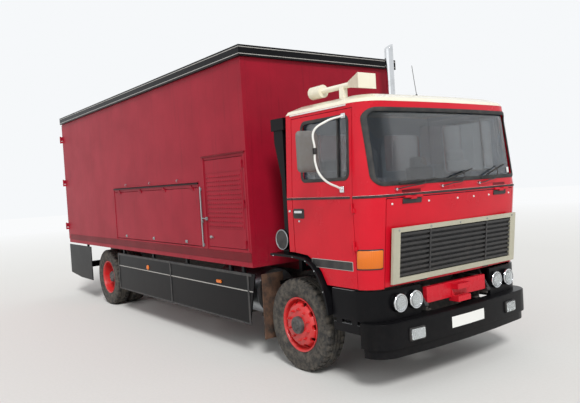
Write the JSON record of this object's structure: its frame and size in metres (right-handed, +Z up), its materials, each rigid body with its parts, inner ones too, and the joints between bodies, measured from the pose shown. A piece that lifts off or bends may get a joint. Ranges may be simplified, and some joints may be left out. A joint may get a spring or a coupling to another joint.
{
  "type": "box truck",
  "caption": "Two-axle forward-control truck with a tilting cab, a tall closed box body with side and rear doors, and twin rear wheels.",
  "frame": {"origin": "centre of the bounding box at ground level, under the tyres", "axes": "+X forward, +Y to the truck's left, +Z up"},
  "size_m": [9.1, 3.27, 3.8199],
  "materials": {
    "chassis_black": "satin, dusty",
    "cast_iron": "rough cast",
    "tank_aluminium": "brushed, dull",
    "black_paint": "gloss",
    "cab_red": "gloss",
    "box_red": "satin gloss",
    "cream": "gloss",
    "interior_blue": "satin",
    "glass": "clear",
    "seat_fabric": "woven",
    "white_paint": "satin",
    "grille_beige": "satin",
    "tyre_rubber": "matt",
    "wheel_red": "gloss",
    "bright_steel": "polished"
  },
  "bodies": {
    "chassis": {"chassis_frame": "chassis_black", "front_axle": "chassis_black", "rear_axle": "chassis_black", "engine_block": "cast_iron", "radiator": "chassis_black", "fuel_tank": "tank_aluminium", "battery_box": "chassis_black", "front_bumper": "black_paint", "corner_panel_right": "black_paint", "corner_panel_left": "black_paint", "tow_bracket": "cab_red", "mudguard_right": "black_paint", "mudguard_left": "black_paint", "air_intake": "black_paint", "exhaust_stack": "bright_steel", "body_floor": "box_red", "body_front_wall": "box_red", "body_right_wall": "box_red", "body_left_wall": "box_red", "rear_frame": "box_red", "body_roof": "black_paint", "skirt_right": "black_paint", "skirt_left": "black_paint", "rear_underrun": "black_paint"},
    "cab": {"cab_shell": "cab_red", "cab_roof": "cream", "cab_floor": "interior_blue", "windscreen": "glass", "seat_right": "seat_fabric", "seat_left": "seat_fabric", "steering_wheel": "seat_fabric", "air_horn": "cream"},
    "cab_door_right": {"cab_door_right": "cab_red", "door_glass_right": "glass", "mirror_right": "white_paint"},
    "cab_door_left": {"cab_door_left": "cab_red", "door_glass_left": "glass", "mirror_left": "white_paint"},
    "front_flap": {"front_flap": "cab_red", "grille": "grille_beige"},
    "side_door": {"side_door": "box_red"},
    "locker_flap": {"locker_flap": "box_red"},
    "rear_door_right": {"rear_door_right": "box_red"},
    "rear_door_left": {"rear_door_left": "box_red"},
    "knuckle_right": {"knuckle_right": "chassis_black"},
    "knuckle_left": {"knuckle_left": "chassis_black"},
    "tie_rod": {"tie_rod": "chassis_black"},
    "front_wheel_right": {"front_wheel_right": "wheel_red", "front_tyre_right": "tyre_rubber"},
    "front_wheel_left": {"front_wheel_left": "wheel_red", "front_tyre_left": "tyre_rubber"},
    "rear_wheel_right": {"rear_wheel_right": "wheel_red", "rear_tyre_right_outer": "tyre_rubber", "rear_tyre_right_inner": "tyre_rubber"},
    "rear_wheel_left": {"rear_wheel_left": "wheel_red", "rear_tyre_left_outer": "tyre_rubber", "rear_tyre_left_inner": "tyre_rubber"}
  },
  "joints": [
    {"name": "cab_tilt", "type": "hinge", "parent": "chassis", "child": "cab", "pos_m": [4.42, 0, 0.78], "axis": [0, 1, 0], "range_deg": [0, 50]},
    {"name": "front_flap_hinge", "type": "hinge", "parent": "cab", "child": "front_flap", "pos_m": [4.507, 0, 1.855], "axis": [0, -1, 0], "range_deg": [0, 75]},
    {"name": "cab_door_right_hinge", "type": "hinge", "parent": "cab", "child": "cab_door_right", "pos_m": [4.203, -1.203, 1.6], "axis": [0, 0, 1], "range_deg": [0, 70]},
    {"name": "cab_door_left_hinge", "type": "hinge", "parent": "cab", "child": "cab_door_left", "pos_m": [4.203, 1.203, 1.6], "axis": [0, 0, -1], "range_deg": [0, 70]},
    {"name": "side_door_hinge", "type": "hinge", "parent": "chassis", "child": "side_door", "pos_m": [2.413, -1.263, 1.85], "axis": [0, 0, 1], "range_deg": [0, 95]},
    {"name": "locker_flap_hinge", "type": "hinge", "parent": "chassis", "child": "locker_flap", "pos_m": [-0.22, -1.263, 2.063], "axis": [-1, 0, 0], "range_deg": [0, 90]},
    {"name": "rear_door_right_hinge", "type": "hinge", "parent": "chassis", "child": "rear_door_right", "pos_m": [-4.535, -1.29, 2.35], "axis": [0, 0, 1], "range_deg": [0, 265]},
    {"name": "rear_door_left_hinge", "type": "hinge", "parent": "chassis", "child": "rear_door_left", "pos_m": [-4.535, 1.29, 2.35], "axis": [0, 0, -1], "range_deg": [0, 265]},
    {"name": "steer_right", "type": "hinge", "parent": "chassis", "child": "knuckle_right", "pos_m": [3.17, -0.83, 0.505], "axis": [0, 0, 1], "range_deg": [-35, 35]},
    {"name": "steer_left", "type": "hinge", "parent": "chassis", "child": "knuckle_left", "pos_m": [3.17, 0.83, 0.505], "axis": [0, 0, 1], "range_deg": [-35, 35]},
    {"name": "tie_rod_pivot", "type": "hinge", "parent": "knuckle_right", "child": "tie_rod", "pos_m": [2.95, -0.83, 0.365], "axis": [0, 0, 1], "range_deg": [-35, 35]},
    {"name": "front_wheel_right_spin", "type": "hinge", "parent": "knuckle_right", "child": "front_wheel_right", "pos_m": [3.17, -1.015, 0.505], "axis": [0, 1, 0], "continuous": true},
    {"name": "front_wheel_left_spin", "type": "hinge", "parent": "knuckle_left", "child": "front_wheel_left", "pos_m": [3.17, 1.015, 0.505], "axis": [0, 1, 0], "continuous": true},
    {"name": "rear_wheel_right_spin", "type": "hinge", "parent": "chassis", "child": "rear_wheel_right", "pos_m": [-2.62, -0.883, 0.505], "axis": [0, 1, 0], "continuous": true},
    {"name": "rear_wheel_left_spin", "type": "hinge", "parent": "chassis", "child": "rear_wheel_left", "pos_m": [-2.62, 0.883, 0.505], "axis": [0, 1, 0], "continuous": true}
  ],
  "couplings": [
    {"joint": "steer_left", "follows": "steer_right", "ratio": 1},
    {"joint": "tie_rod_pivot", "follows": "steer_right", "ratio": -1}
  ]
}
